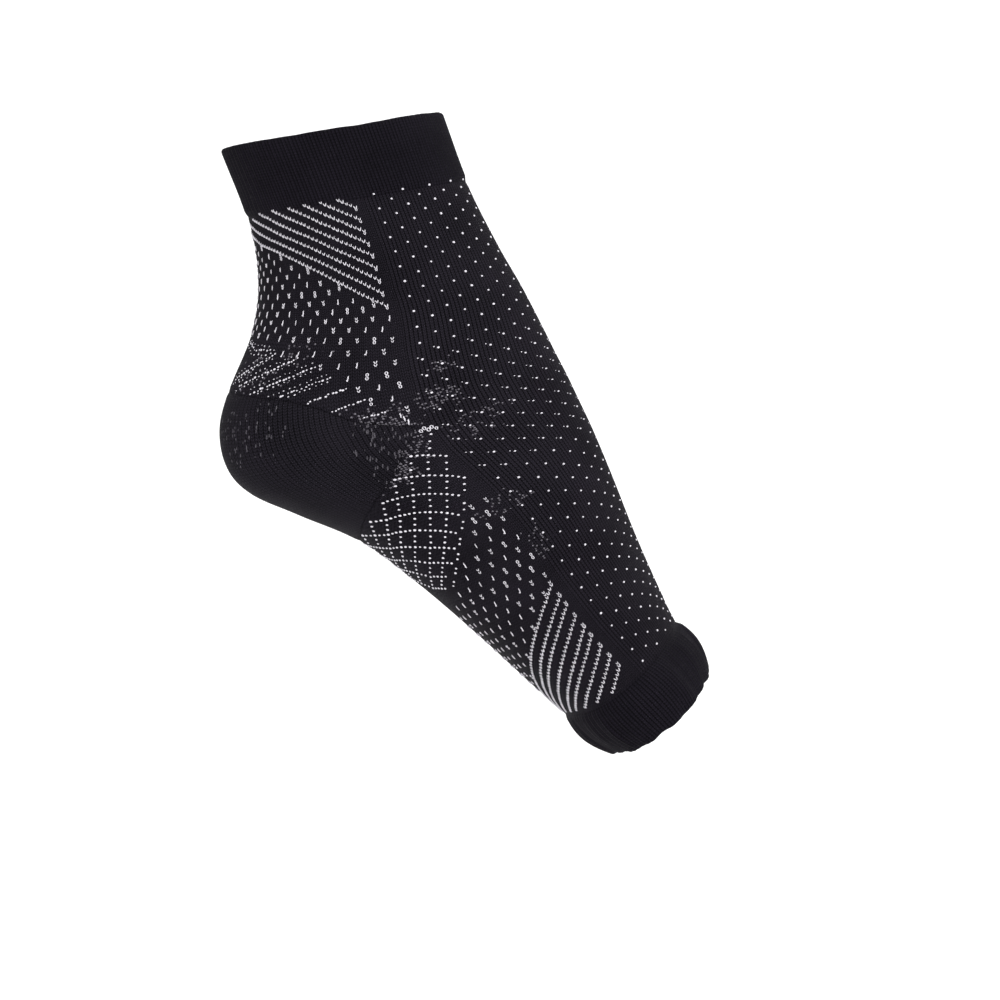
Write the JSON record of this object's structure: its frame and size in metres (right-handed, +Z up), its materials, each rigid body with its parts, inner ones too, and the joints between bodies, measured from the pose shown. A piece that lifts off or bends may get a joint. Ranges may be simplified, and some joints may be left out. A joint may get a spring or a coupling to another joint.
{
  "type": "compression foot sleeve",
  "caption": "Open-toed knitted compression sleeve for the foot and ankle, with ribbed cuffs, a heel pouch and a patterned body.",
  "frame": {"origin": "centre of the ankle opening's rim, in the middle plane of the sleeve", "axes": "+Z up as worn with the toes pointed down, +X towards the toes, Y across the foot"},
  "size_m": [0.1674, 0.0888, 0.2183],
  "materials": {
    "rib_knit": "matt black rib knit with a faint sheen",
    "jacquard_knit": "matt black fine rib knit with small white stitches",
    "plain_knit": "matt black plain knit",
    "white_yarn": "matt white yarn"
  },
  "bodies": {
    "root": {"ankle_cuff": "rib_knit", "sleeve_body": "jacquard_knit", "heel_pouch": "plain_knit", "toe_band": "rib_knit"}
  },
  "joints": []
}
